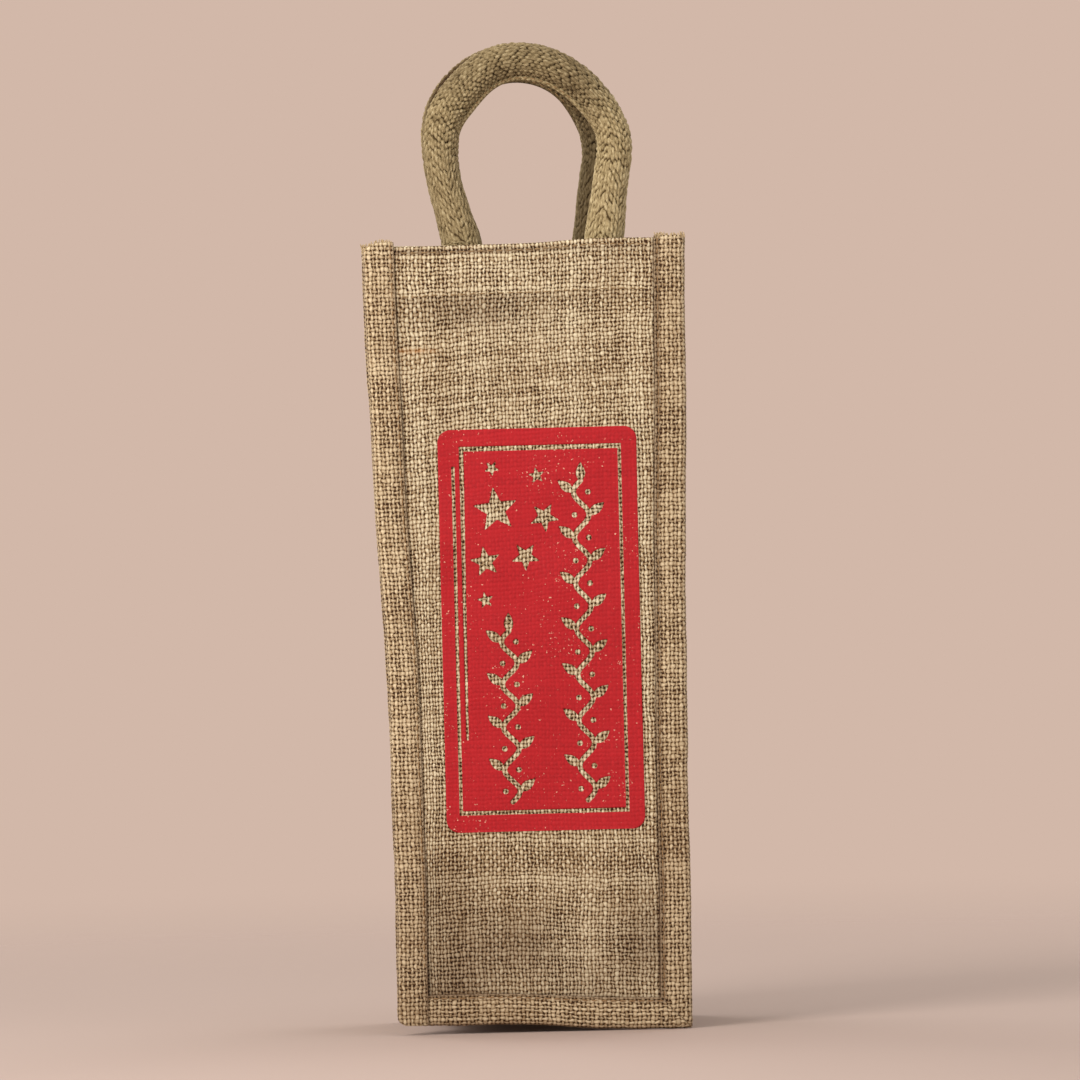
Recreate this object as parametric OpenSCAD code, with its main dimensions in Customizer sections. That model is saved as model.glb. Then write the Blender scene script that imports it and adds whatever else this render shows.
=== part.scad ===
// Jute gift bag for one wine bottle: front and back panels joined by a gusset strip,
// bound seams that stand out as flanges, a turned-in hem and two padded webbing handles.
// Millimetres. +Z up, front towards -Y, origin on the floor under the middle of the bag.

/* [Body] */
// Height of the mouth above the floor
bag_h = 360; // [320:5:400]
// Width between the side seams at the mouth
mouth_w = 118; // [112:1:124]
// Width between the side seams at the base
base_w = 108; // [104:1:112]
// Inside depth from front panel to back panel
depth = 100; // [92:1:110]
// Thickness of the jute cloth
cloth_t = 1.2; // [0.8:0.1:1.6]
// How far each side gusset is creased inwards at mid depth
crease = 8; // [4:1:12]

/* [Bound seams] */
// Width of the bound flange outside the seam
flange_w = 14; // [12:0.5:16]
// Length of binding that stands above the mouth
binding_over = 3; // [1:0.5:5]

/* [Hem] */
// Height of cloth turned in at the mouth
hem_h = 25; // [22:1:30]

/* [Handles] */
// Radius of the padded webbing tube
handle_r = 8.7; // [7.5:0.1:9.5]
// Radius of the filler cord inside the webbing
core_r = 6.4; // [5:0.1:6.8]
// Radius of the arch, to the middle of the tube
loop_r = 41; // [38:1:43]
// Inward lean of each leg below the arch, in degrees
leg_tilt = 11.5; // [8:0.5:12]
// Distance between the two legs at the mouth
leg_gap = 65; // [62:1:70]
// Sideways offset of the front handle
front_handle_shift = 2.5; // [-4:0.5:4]
// Sideways offset of the back handle
back_handle_shift = 0.5; // [-4:0.5:4]

/* [Print] */
// Width of the printed panel
print_w = 91; // [70:1:94]
// Height of the printed panel
print_h = 184; // [140:2:200]
// Height of the printed panel's middle above the floor
print_z = 183.5; // [150:0.5:200]
// Sideways offset of the printed panel
print_x = 3.5; // [-4:0.5:4]

/* [Hidden] */

jute = [0.72, 0.60, 0.42];
jute_tape = [0.70, 0.58, 0.41];
webbing = [0.62, 0.54, 0.38];
thread = [0.42, 0.27, 0.16];
ink = [0.77, 0.13, 0.15];

eps = 0.01;
lay_gap = 0.15;                       // air between two layers of cloth
seam_gap = 0.1;                       // air between the gusset and a panel
fold_gap = 0.3;                       // air inside the turned hem
half_d = depth / 2;
panel_y = half_d + cloth_t;           // outer face of a panel
floor_z = flange_w;                   // top of the base cloth
tab_w = flange_w - cloth_t - 0.8;     // gusset edge that is turned out into the flange
wall_h = bag_h - floor_z;
taper = atan((mouth_w - base_w) / 2 / wall_h);
leaf_out = panel_y + lay_gap + cloth_t;          // outer face of the binding
strip_d = half_d - seam_gap;          // half the depth of the gusset strip
leaf_in = strip_d - cloth_t - lay_gap - cloth_t; // inner face of the binding
thread_h = 0.4;
thread_w = 0.7;
hem_face = half_d - fold_gap - cloth_t;          // inner face of the turned hem
pad_t = 3;                            // flattened webbing end
pad_w = 22;
pad_low = bag_h - hem_h + 1.5;
pad_high = bag_h - 12;
pivot_off = 11;                       // from the mouth's edge to the middle of the tube
handle_y = half_d - pivot_off;
// The arch runs a little past a half circle, then straight legs lean in to leg_gap.
leg_len = (loop_r * cos(leg_tilt) - leg_gap / 2) / sin(leg_tilt);
arch_z = bag_h + leg_len * cos(leg_tilt) + loop_r * sin(leg_tilt);
fin_w = 2.6;                          // webbing edges sewn together inside the arch
fin_t = 2.4;
core_gap = 0.1;                       // between the filler cord and the webbing
leg_lap = 0.5;                        // each leg runs this far into the arch
leg_step = 0.05;                      // and is this much thinner, so that their faces stay apart
sprig_sway = 3.5;                     // a sprig's bends to either side
stem_w = 2.3;
berry_r = 1.3;
leaf_l = 9;
leaf_w = 4.2;

// ---------- helpers ----------

function side_x(z) = base_w / 2 + (z - floor_z) * tan(taper);

// Outline of the face in X and Z, grown sideways by side and downwards by down.
module face_outline(side, down, top = bag_h) {
    polygon([[-side_x(floor_z - down) - side, floor_z - down],
             [side_x(floor_z - down) + side, floor_z - down],
             [side_x(top) + side, top],
             [-side_x(top) - side, top]]);
}

// A flat slab on the front side, between two distances in front of the bag's middle.
module front_slab(y_near, y_far) {
    translate([0, -y_near, 0]) rotate([90, 0, 0]) linear_extrude(y_far - y_near) children();
}

// Leans a child with the taper of the left side, about the foot of the left seam.
module left_side() {
    translate([-base_w / 2, 0, floor_z]) rotate([0, -taper, 0]) children();
}

module both_sides() {
    children();
    mirror([1, 0, 0]) children();
}

module band(low, high) {
    translate([-mouth_w, -depth, low]) cube([2 * mouth_w, 2 * depth, high - low]);
}

// ---------- gusset strip ----------

// Section of one side wall: creased in the middle, edges turned out into the flanges.
module wall_section() {
    polygon([[-tab_w, -strip_d], [0, -strip_d], [crease, 0], [0, strip_d], [-tab_w, strip_d],
             [-tab_w, strip_d - cloth_t], [-cloth_t, strip_d - cloth_t], [crease - cloth_t, 0],
             [-cloth_t, -strip_d + cloth_t], [-tab_w, -strip_d + cloth_t]]);
}

// The inner layer of the side hem, which follows the crease.
module wall_hem_section(inset, end) {
    polygon([[inset, -end], [crease + inset, 0], [inset, end],
             [inset + cloth_t, end], [crease + inset + cloth_t, 0], [inset + cloth_t, -end]]);
}

module side_wall() {
    intersection() {
        left_side() translate([0, 0, -flange_w]) linear_extrude(wall_h + 2 * flange_w) wall_section();
        band(floor_z - cloth_t, bag_h);
    }
    intersection() {
        left_side() translate([0, 0, wall_h - 2 * hem_h]) linear_extrude(3 * hem_h)
            wall_hem_section(fold_gap, half_d - 3);
        band(bag_h - hem_h, bag_h);
    }
    intersection() {
        left_side() translate([0, 0, wall_h - hem_h]) linear_extrude(2 * hem_h)
            wall_hem_section(-eps, half_d - 3);
        band(bag_h - cloth_t, bag_h);
    }
}

module base_section() {
    polygon([[-strip_d, cloth_t - tab_w], [-strip_d, cloth_t], [strip_d, cloth_t], [strip_d, cloth_t - tab_w],
             [strip_d - cloth_t, cloth_t - tab_w], [strip_d - cloth_t, 0], [-strip_d + cloth_t, 0],
             [-strip_d + cloth_t, cloth_t - tab_w]]);
}

module gusset_strip() color(jute) {
    both_sides() side_wall();
    translate([-base_w / 2 - cloth_t, 0, floor_z - cloth_t]) rotate([90, 0, 90])
        linear_extrude(base_w + 2 * cloth_t) base_section();
}

module left_gusset_hem_seam() color(thread)
    intersection() {
        left_side() translate([0, 0, wall_h - hem_h]) linear_extrude(2 * hem_h)
            polygon([[-cloth_t - thread_h, -half_d + 4], [crease - cloth_t - thread_h - 0.7, 0],
                     [-cloth_t - thread_h, half_d - 4], [-cloth_t, half_d - 4 + eps],
                     [crease - cloth_t - 0.7, 0], [-cloth_t, -half_d + 4 - eps]]);
        band(bag_h - hem_h + 3, bag_h - hem_h + 3 + thread_w);
    }

// ---------- panels ----------

module panel() color(jute) {
    front_slab(half_d, panel_y) face_outline(flange_w - cloth_t - 0.5, flange_w - cloth_t - 0.5);
    hem_x = mouth_w / 2 - 4;
    translate([-hem_x, -half_d + fold_gap, bag_h - hem_h]) cube([2 * hem_x, cloth_t, hem_h]);
    translate([-hem_x, -half_d - eps, bag_h - cloth_t]) cube([2 * hem_x, fold_gap + 2 * eps, cloth_t]);
}

// Channel section of the binding, folded round the panel edge and the gusset edge.
module channel_section(back_edge) {
    polygon([[0, -leaf_out], [-flange_w, -leaf_out], [-flange_w, -leaf_in], [-back_edge, -leaf_in],
             [-back_edge, -leaf_in - cloth_t], [-flange_w + cloth_t, -leaf_in - cloth_t],
             [-flange_w + cloth_t, -leaf_out + cloth_t], [0, -leaf_out + cloth_t]]);
}

module binding() color(jute_tape) {
    back_edge = cloth_t + 0.4;
    both_sides() intersection() {
        left_side() translate([0, 0, -2 * flange_w]) linear_extrude(wall_h + 4 * flange_w)
            channel_section(back_edge);
        band(0, bag_h + binding_over);
    }
    foot = side_x(0) + flange_w;
    intersection() {
        translate([-foot, 0, floor_z]) rotate([90, 0, 90]) linear_extrude(2 * foot)
            mirror([1, -1]) channel_section(back_edge);
        front_slab(0, depth) face_outline(flange_w, flange_w);
    }
}

module binding_seam() color(thread) {
    inset = 1.5;
    front_slab(leaf_out, leaf_out + thread_h) intersection() {
        difference() {
            face_outline(inset, inset, bag_h + binding_over);
            face_outline(inset - thread_w, inset - thread_w, 2 * bag_h);
        }
        translate([-mouth_w, 0]) square([2 * mouth_w, bag_h]);
    }
}

// Two rows of stitches round the hem. Inside the bag they stop short of the handle ends.
module hem_seam(shift) color(thread) {
    rows = [bag_h - 3, bag_h - hem_h + 2];
    span = mouth_w / 2 - 5;
    for (z = rows) {
        translate([-span, -panel_y - thread_h, z]) cube([2 * span, thread_h, thread_w]);
        difference() {
            translate([-span, -hem_face, z]) cube([2 * span, thread_h, thread_w]);
            for (x = [-leg_gap / 2, leg_gap / 2])
                translate([x + shift - pad_w / 2 - 1, -depth, 0]) cube([pad_w + 2, 2 * depth, 2 * bag_h]);
        }
    }
}

// ---------- handles ----------

// Flattened end of the webbing, then the swell up to the full tube at the mouth.
module handle_ends() color(webbing)
    for (s = [-1, 1]) {
        translate([s * leg_gap / 2 - pad_w / 2, -hem_face + lay_gap, pad_low])
            cube([pad_w, pad_t, pad_high - pad_low]);
        hull() {
            translate([s * leg_gap / 2 - pad_w / 2, -hem_face + lay_gap, pad_high - 0.5])
                cube([pad_w, pad_t, 0.5]);
            translate([s * leg_gap / 2, -handle_y, bag_h - 0.6]) cylinder(r = handle_r, h = 0.4, $fn = 32);
        }
    }

// Box of stitches that holds each end to the hem.
module handle_end_stitches() color(thread) {
    box_w = pad_w - 6;
    box_h = pad_high - pad_low - 3;
    for (s = [-1, 1]) translate([s * leg_gap / 2, -hem_face + lay_gap + pad_t, pad_low + 1.5 + box_h / 2])
        rotate([-90, 0, 0]) linear_extrude(thread_h) {
            difference() {
                square([box_w, box_h], center = true);
                square([box_w - 2 * thread_w, box_h - 2 * thread_w], center = true);
            }
            for (a = [-1, 1]) rotate(a * atan(box_h / box_w))
                square([norm([box_w, box_h]) - 2 * thread_w, thread_w], center = true);
        }
}

// Sweeps a section round the arch, which spans a little more than half a circle.
module arch(span = 180 + 2 * leg_tilt)
    translate([0, -handle_y, arch_z]) rotate([90, 0, 0]) rotate((180 - span) / 2)
        rotate_extrude(angle = span, $fn = 96) translate([loop_r, 0]) children();

module legs(r, low)
    intersection() {
        for (s = [-1, 1])
            translate([s * loop_r * cos(leg_tilt), -handle_y, arch_z - loop_r * sin(leg_tilt)])
                rotate([0, s * leg_tilt, 0]) translate([0, 0, -leg_len - handle_r])
                    cylinder(r = r - leg_step, h = leg_len + handle_r + leg_lap, $fn = 64);
        band(low, arch_z);
    }

module tube(r, low = bag_h) {
    arch() circle(r = r, $fn = 64);
    legs(r, low);
}

module handle_cover() color(webbing) {
    difference() {
        tube(handle_r);
        tube(core_r + core_gap, bag_h - 1);
    }
    arch(170) translate([-handle_r - fin_w, -fin_t / 2]) square([fin_w + 0.8, fin_t]);
}

module handle_core() color(webbing * 0.9) tube(core_r);

module handle_seam() color(thread)
    for (y = [fin_t / 2, -fin_t / 2 - thread_h])
        arch(168) translate([-handle_r - 1.6, y]) square([thread_w, thread_h]);

// ---------- print ----------

module star(r, turn)
    rotate(turn) polygon([for (i = [0:9]) (i % 2 == 0 ? r : r * 0.42) * [sin(i * 36), cos(i * 36)]]);

module rounded(w, h, r) {
    square([w - 2 * r, h], center = true);
    square([w, h - 2 * r], center = true);
    for (x = [-1, 1], y = [-1, 1]) translate([x * (w / 2 - r), y * (h / 2 - r)]) circle(r = r, $fn = 48);
}

// Pointed leaf that grows along X from the origin.
module leaf()
    polygon([for (k = [0:15]) let (t = k < 8 ? k / 8 : 2 - k / 8, side = k < 8 ? 1 : -1)
                 [leaf_l * t, side * leaf_w * 2 * t * (1 - t) * (1.3 - 0.6 * t)]]);

// A wavy sprig that grows upwards, with a leaf outside each bend, a berry inside it and a leaf at its tip.
module sprig(length, waves) {
    steps = waves * 12;
    mid = [for (i = [0:steps]) [sprig_sway * sin(i * 30), (i / steps - 0.5) * length]];
    side = [for (i = [0:steps]) let (a = mid[max(i - 1, 0)], b = mid[min(i + 1, steps)], d = (b - a) / norm(b - a))
                [d.y, -d.x] * stem_w / 2];
    polygon(concat([for (i = [0:steps]) mid[i] + side[i]], [for (i = [steps:-1:0]) mid[i] - side[i]]));
    for (i = [0:2 * waves - 1]) let (s = i % 2 == 0 ? 1 : -1, y = ((i + 0.5) / (2 * waves) - 0.5) * length) {
        translate([-s * sprig_sway * 0.9, y]) circle(r = berry_r, $fn = 12);
        translate([s * sprig_sway, y]) rotate(90 - s * 52) leaf();
    }
    translate([0, length / 2 - 0.5]) rotate(90) leaf();
}

// Middle, radius and turn in degrees of each star, from the middle of the print
STARS = [[-21, 74, 3.7, 40], [-0.6, 70.3, 4, 8], [-19.6, 55, 10.6, 6], [2.5, 51.2, 7, 42],
         [-24.8, 31.4, 7.3, 9], [-6.5, 33.4, 6.8, 36], [-25.3, 13.9, 4, 10]];

// The bare frame line: thin strips along the print's edges, two of them side by side on its left.
module frame_lines() {
    left = -print_w / 2;
    right = print_w / 2 - 7.3;
    high = print_h / 2 - 7.8;
    low = -print_h / 2 + 7.8;
    inner = left + 9.7;
    outer = left + 6;
    translate([inner, high - 2.2]) square([right - inner, 2.2]);
    translate([right - 1.6, low]) square([1.6, high - low]);
    translate([outer, low]) square([right - outer, 1.9]);
    translate([outer, low]) square([1.6, high - low - 9]);
    polygon([[inner, high], [inner + 2.1, high], [inner + 1.4, high - 134], [inner + 0.3, high - 134]]);
}

module print_outline()
    difference() {
        rounded(print_w, print_h, 6);
        frame_lines();
        for (s = STARS) translate([s.x, s.y]) star(s.z, s[3]);
        translate([-15, -39.5]) sprig(78, 4);
        translate([19.5, -5.5]) sprig(146, 7);
    }

module front_print() color(ink)
    front_slab(panel_y, panel_y + 0.2) translate([print_x, print_z]) print_outline();

// ---------- pieces ----------

module front_to_back() mirror([0, 1, 0]) children();
module front_handle_place() translate([front_handle_shift, 0, 0]) children();
module back_handle_place() translate([back_handle_shift, 0, 0]) front_to_back() children();

gusset_strip();
left_gusset_hem_seam();
mirror([1, 0, 0]) left_gusset_hem_seam();  // right_gusset_hem_seam
panel();  // front_panel
binding();  // front_binding
binding_seam();  // front_binding_seam
hem_seam(front_handle_shift);  // front_hem_seam
front_handle_place() handle_ends();  // front_handle_ends
front_handle_place() handle_end_stitches();  // front_handle_end_stitches
front_print();
front_to_back() panel();  // back_panel
front_to_back() binding();  // back_binding
front_to_back() binding_seam();  // back_binding_seam
front_to_back() hem_seam(back_handle_shift);  // back_hem_seam
back_handle_place() handle_ends();  // back_handle_ends
back_handle_place() handle_end_stitches();  // back_handle_end_stitches
front_handle_place() handle_cover();  // front_handle_cover
front_handle_place() handle_core();  // front_handle_core
front_handle_place() handle_seam();  // front_handle_seam
back_handle_place() handle_cover();  // back_handle_cover
back_handle_place() handle_core();  // back_handle_core
back_handle_place() handle_seam();  // back_handle_seam
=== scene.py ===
"""Looks of a jute gift bag for a wine bottle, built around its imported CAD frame.

Shapes are worked out in millimetres in the frame's axes, and become metres as each mesh is made.
Cloth is a grid whose points lie half a yarn apart, so that its relief and its material follow the
same yarns.
"""

import math

import bpy
import numpy as np
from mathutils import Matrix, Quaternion, Vector

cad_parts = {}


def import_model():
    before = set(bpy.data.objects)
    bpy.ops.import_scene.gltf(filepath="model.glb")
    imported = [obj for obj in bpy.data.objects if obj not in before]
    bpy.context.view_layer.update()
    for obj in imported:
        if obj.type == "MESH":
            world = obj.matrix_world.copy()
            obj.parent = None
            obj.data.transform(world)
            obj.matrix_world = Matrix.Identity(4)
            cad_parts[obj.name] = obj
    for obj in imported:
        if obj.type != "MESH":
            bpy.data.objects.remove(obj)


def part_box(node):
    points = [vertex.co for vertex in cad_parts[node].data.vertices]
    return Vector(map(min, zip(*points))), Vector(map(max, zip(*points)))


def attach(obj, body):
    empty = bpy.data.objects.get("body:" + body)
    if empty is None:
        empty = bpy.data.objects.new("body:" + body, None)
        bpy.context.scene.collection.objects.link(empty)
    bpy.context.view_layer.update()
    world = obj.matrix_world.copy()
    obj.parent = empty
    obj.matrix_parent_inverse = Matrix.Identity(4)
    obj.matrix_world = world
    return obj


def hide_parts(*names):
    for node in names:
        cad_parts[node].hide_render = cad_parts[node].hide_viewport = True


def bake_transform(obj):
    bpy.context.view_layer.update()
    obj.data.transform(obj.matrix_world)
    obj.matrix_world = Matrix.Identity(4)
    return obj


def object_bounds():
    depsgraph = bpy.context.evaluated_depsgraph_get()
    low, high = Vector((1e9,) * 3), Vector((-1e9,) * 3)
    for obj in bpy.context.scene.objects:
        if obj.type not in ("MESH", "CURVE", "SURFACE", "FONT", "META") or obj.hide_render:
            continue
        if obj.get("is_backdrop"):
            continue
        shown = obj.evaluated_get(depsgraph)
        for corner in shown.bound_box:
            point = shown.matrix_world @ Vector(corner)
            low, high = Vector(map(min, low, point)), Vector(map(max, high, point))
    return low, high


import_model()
cad_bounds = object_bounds()

MM = 0.001
ALONG_Y = np.array([0.0, 1.0, 0.0])


def box_mm(node):
    """Lowest and highest corner of a CAD node, in millimetres."""
    low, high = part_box(node)
    return np.array(low) / MM, np.array(high) / MM


panel_low, panel_high = box_mm("front_panel")
tape_low, tape_high = box_mm("front_binding")
arch_low, arch_high = box_mm("front_handle_cover")
ends_low = box_mm("front_handle_ends")[0]
print_low, print_high = box_mm("front_print")

# Heights, widths and depths, where a depth is a distance from the bag's middle plane
MOUTH_Z = panel_high[2]
FLANGE = 14.0
HALF_MOUTH = tape_high[0] - FLANGE
HALF_BASE = 54.0
HEM = 25.0
HEM_LINE = MOUTH_Z - HEM
PANEL_OUT, PANEL_IN = -panel_low[1], -panel_high[1]
TAPE_OUT, TAPE_IN = -tape_low[1], -tape_high[1]
TAPE_TOP = tape_high[2]
STRIP_DEPTH = box_mm("gusset_strip")[1][1]
CREASE = 8.0

# Half the thickness of the CAD's cloth, in whose middle the woven cloth lies
HALF_SOLID = 0.6

# Cloth: its thickness, how far its yarns stand out, and the distances between them
CLOTH = 0.8
RELIEF = 0.24
WARP_PITCH = 1.74
WEFT_PITCH = 1.96
TAPE_PITCH = 1.85
SEAM_INSET = 1.5
STITCH = 0.28

# How this bag has settled
LEFT_BOW = 3.2
TOP_SPREAD = 0.9
WAIST = 0.9
FOOT_BOW = 1.1
SHORT_FOOT = {"front": 3.6, "back": 2.0}

# Handles
HANDLE_DEPTH = -(arch_low[1] + arch_high[1]) / 2
TUBE = (arch_high[1] - arch_low[1]) / 2
ARCH = (arch_high[0] - arch_low[0]) / 2 - TUBE
ARCH_Z = arch_high[2] - TUBE - ARCH
LEG_TILT = math.radians(11.5)
LEG_GAP = 65.0
END_DEPTH = -ends_low[1] - 1.5
END_LOW = ends_low[2]
END_HALF_WIDTH = 11.0
HANDLE_X = {s: np.mean(box_mm(f"{s}_handle_cover"), axis=0)[0] for s in ("front", "back")}
HANGS = {
    "front": dict(narrow=0.985, shoulder=3.8, squat=0.974, lean=4.4),
    "back": dict(narrow=0.95, shoulder=2.6, squat=0.986, lean=5.8, pinch=4.2, far=2.6),
}


# --- numbers ---


def smooth(x, low, high):
    """0 below low, 1 above high, and a smooth step between."""
    t = np.clip((np.asarray(x, float) - low) / (high - low), 0, 1)
    return t * t * (3 - 2 * t)


def ridge(x, centre, width):
    """1 at centre, falling smoothly to 0 on both sides over about width."""
    return np.exp(-(((x - centre) / width) ** 2))


def stack(*parts):
    """Points, from an array or number for each coordinate."""
    return np.stack(np.broadcast_arrays(*parts), -1)


def ripple(a, b, size, seed):
    """Smooth noise from -1 to 1 over (a, b), with bumps about size across."""
    table = np.random.default_rng(seed).uniform(-1, 1, (64, 64))
    a, b = np.asarray(a, float) / size + 17.3, np.asarray(b, float) / size + 11.7
    i, j = np.floor(a).astype(int), np.floor(b).astype(int)
    s, t = smooth(a - i, 0, 1), smooth(b - j, 0, 1)
    near = table[i % 64, j % 64] * (1 - s) + table[(i + 1) % 64, j % 64] * s
    far = table[i % 64, (j + 1) % 64] * (1 - s) + table[(i + 1) % 64, (j + 1) % 64] * s
    return near * (1 - t) + far * t


def half_yarns(length, pitch):
    """Distances along a cloth, half a yarn apart."""
    return np.linspace(0, length, 2 * int(round(length / pitch)) + 1)


def half_width(z):
    """Half the width of the face between its side seams."""
    return HALF_BASE + (HALF_MOUTH - HALF_BASE) * (np.asarray(z) - FLANGE) / (MOUTH_Z - FLANGE)


def resample(points, step):
    """A polyline's points again, an even step apart, and their distances along it."""
    gaps = np.linalg.norm(np.diff(points, axis=0), axis=1)
    at = np.concatenate([[0], np.cumsum(gaps)])
    count = int(round(at[-1] / step)) + 1
    even = np.linspace(0, at[-1], count)
    return stack(*(np.interp(even, at, column) for column in points.T)), even


def unit(v):
    return v / np.maximum(np.linalg.norm(v, axis=-1, keepdims=True), 1e-9)


def settled(points, lift):
    """The sewn cloth as it really is: its left side bows inwards, its waist is slim, its lower edge
    is bowed up, and its left foot is short by lift."""
    x, y, z = np.moveaxis(points, -1, 0)
    near = smooth(np.abs(y), 2, 40)
    left, right = 1 - smooth(x, -60, -42), smooth(x, 42, 60)
    inwards = LEFT_BOW * (1 - smooth(z, 150, 262)) * (0.55 + 0.45 * smooth(z, 0, 70))
    inwards -= TOP_SPREAD * smooth(z, 265, 330)
    waist = WAIST * (1 - smooth(np.abs(z - 175), 50, 120))
    dx = left * inwards - right * waist
    foot = lift * (1 - smooth(x, -68, 60)) + FOOT_BOW * ridge(x, -12, 26)
    dz = foot * (1 - smooth(z, 10, 90))
    return stack(x + near * dx, y, z + near * dz)


def leaned(points, middle, narrow, shoulder, squat, lean, pinch=0, far=0):
    """A handle as it really hangs. Seen from the front, its arch leans to the left by lean and is
    squat, its left shoulder is flattened, its right one is pushed out by far, and its left leg
    stands closer to the right one by pinch."""
    x, y, z = np.moveaxis(points - [middle, 0, 0], -1, 0)
    turn = np.degrees(np.arctan2(z - ARCH_Z, x))
    turn = np.where(turn < -90, turn + 360, turn)
    pull = shoulder * ridge(turn, 136, 32) + 1.8 * ridge(turn, 182, 20)
    pull -= ridge(turn, 0, 25) + far * ridge(turn, 50, 34)
    reach = np.maximum(np.hypot(x, z - ARCH_Z), 1)
    pull = pull * smooth(z, MOUTH_Z + 5, MOUTH_Z + 30) / reach
    x, z = x * (1 - pull), z - pull * (z - ARCH_Z)
    z = np.minimum(z, MOUTH_Z) + np.maximum(z - MOUTH_Z, 0) * squat
    sideways = 1.3 - 2.5 * smooth(z, MOUTH_Z, MOUTH_Z + 45)
    sideways -= lean * smooth(z, ARCH_Z - 8, ARCH_Z + 50)
    thin = 1 - (1 - narrow) * smooth(z, MOUTH_Z - 4, MOUTH_Z + 40)
    root = smooth(z, MOUTH_Z - 14, MOUTH_Z + 2)
    right = smooth(x, -12, 12)
    closer = pinch * (1 - right) * (1 - 0.85 * smooth(z, MOUTH_Z + 2, MOUTH_Z + 38))
    closer -= 0.4 * pinch * right * (1 - smooth(z, ARCH_Z + 4, ARCH_Z + 26))
    return stack(x * thin + closer * root + sideways + middle, y, z)


# --- meshes ---


def mesh_object(name, points, quads, uv=None, marks=None, caps=()):
    """An object from points in millimetres. uv holds a pair for each corner of each quad, marks a
    value for each point, and caps the points of each face with more corners."""
    used = np.zeros(len(points), bool)
    used[quads.ravel()] = True
    renumber = np.cumsum(used) - 1
    quads = renumber[quads]
    faces = quads.tolist() + [renumber[cap].tolist() for cap in caps]
    mesh = bpy.data.meshes.new(name)
    mesh.from_pydata(points[used] * MM, [], faces, shade_flat=False)
    if uv is not None:
        layer = mesh.uv_layers.new(name="weave")
        flat = np.zeros((len(mesh.loops), 2), np.float32)
        flat[: quads.size] = uv.reshape(-1, 2)
        layer.data.foreach_set("uv", flat.ravel())
    for key, values in (marks or {}).items():
        attribute = mesh.attributes.new(key, "FLOAT", "POINT")
        attribute.data.foreach_set("value", values[used].astype(np.float32))
    mesh.validate()
    made = bpy.data.objects.new(name, mesh)
    bpy.context.scene.collection.objects.link(made)
    return made


def corners_of(grid):
    """The values at the four corners of each cell of a grid, anticlockwise."""
    return [grid[:-1, :-1], grid[:-1, 1:], grid[1:, 1:], grid[1:, :-1]]


def solid_grid(front, back, uv, marks=None, keep=None):
    """Points, quads, corner uvs and marks of the closed solid between two grids of points, where
    keep picks the cells."""
    rows, cols = front.shape[:2]
    index = np.arange(rows * cols).reshape(rows, cols)
    keep = np.ones((rows - 1, cols - 1), bool) if keep is None else keep
    cell = stack(*corners_of(index))
    beyond = rows * cols
    quads = [cell[keep], cell[keep][:, ::-1] + beyond]
    padded = np.pad(keep, 1)
    beside = [padded[:-2, 1:-1], padded[1:-1, 2:], padded[2:, 1:-1], padded[1:-1, :-2]]
    for side, neighbour in enumerate(beside):
        edge = cell[keep & ~neighbour]
        a, b = edge[:, side], edge[:, (side + 1) % 4]
        quads.append(stack(b, a, a + beyond, b + beyond))
    quads = np.concatenate(quads)
    points = np.concatenate([front.reshape(-1, 3), back.reshape(-1, 3)])
    both = {k: np.tile(v.ravel(), 2) for k, v in (marks or {}).items()}
    return points, quads, uv.reshape(-1, 2)[quads % beyond], both


def normals(grid):
    """Unit normals of a grid of points, on the side from which its columns and rows turn
    anticlockwise."""
    return unit(np.cross(np.gradient(grid, axis=1), np.gradient(grid, axis=0)))


def relief(uv):
    """How far the yarns stand out: most at each crossing, least in each hole."""
    u, v = np.moveaxis(uv, -1, 0)
    lively = 1 + 0.55 * ripple(u, v, 1.3, 3)
    return RELIEF * lively * (np.cos(2 * np.pi * u) + np.cos(2 * np.pi * v)) / 2


def cloth(middle, uv, marks, keep=None):
    """The solid of a woven cloth on its middle surface."""
    offset = (CLOTH / 2 + relief(uv))[..., None] * normals(middle)
    return solid_grid(middle + offset, middle - offset, uv, marks, keep)


def joined(name, place, parts):
    """One object of several solids, put where place says."""
    points, quads, uvs, marks = zip(*parts)
    starts = np.cumsum([0, *(len(p) for p in points)])
    quads = [q + start for q, start in zip(quads, starts)]
    marks = {k: np.concatenate([m[k] for m in marks]) for k in marks[0]}
    points = place(np.concatenate(points))
    return mesh_object(name, points, np.concatenate(quads), np.concatenate(uvs), marks)


def ring_faces(count, rings, sides):
    """The quads and end caps of closed tubes, whose points are numbered ring by ring."""
    index = np.arange(count * rings * sides).reshape(count, rings, sides)
    turned = np.roll(index, -1, axis=2)
    quads = stack(index[:, :-1], turned[:, :-1], turned[:, 1:], index[:, 1:]).reshape(-1, 4)
    return quads, [cap for tube in index for cap in (tube[0][::-1], tube[-1])]


def round_path(side, up, wide, tall):
    """Where the points of a tube's rings are beside its path. wide is the half axis along side,
    and tall the one along up, for each point."""
    turn = np.arange(wide.shape[1]) / wide.shape[1] * 2 * np.pi
    across, above = wide * np.cos(turn), tall * np.sin(turn)
    return across[..., None] * side[:, None] + above[..., None] * up[:, None]


def tube(name, place, path, beside, weave=(1.0, 1.0), marks=None):
    """A closed tube whose points lie beside a path. weave is its weave coordinates at its end."""
    rings, sides = beside.shape[:2]
    quads, caps = ring_faces(1, rings, sides)
    points = place((path[:, None] + beside).reshape(-1, 3))
    uv = stack(np.linspace(0, weave[0], sides + 1), np.linspace(0, weave[1], rings)[:, None])
    return mesh_object(name, points, quads, np.stack(corners_of(uv), 2), marks, caps)


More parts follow.
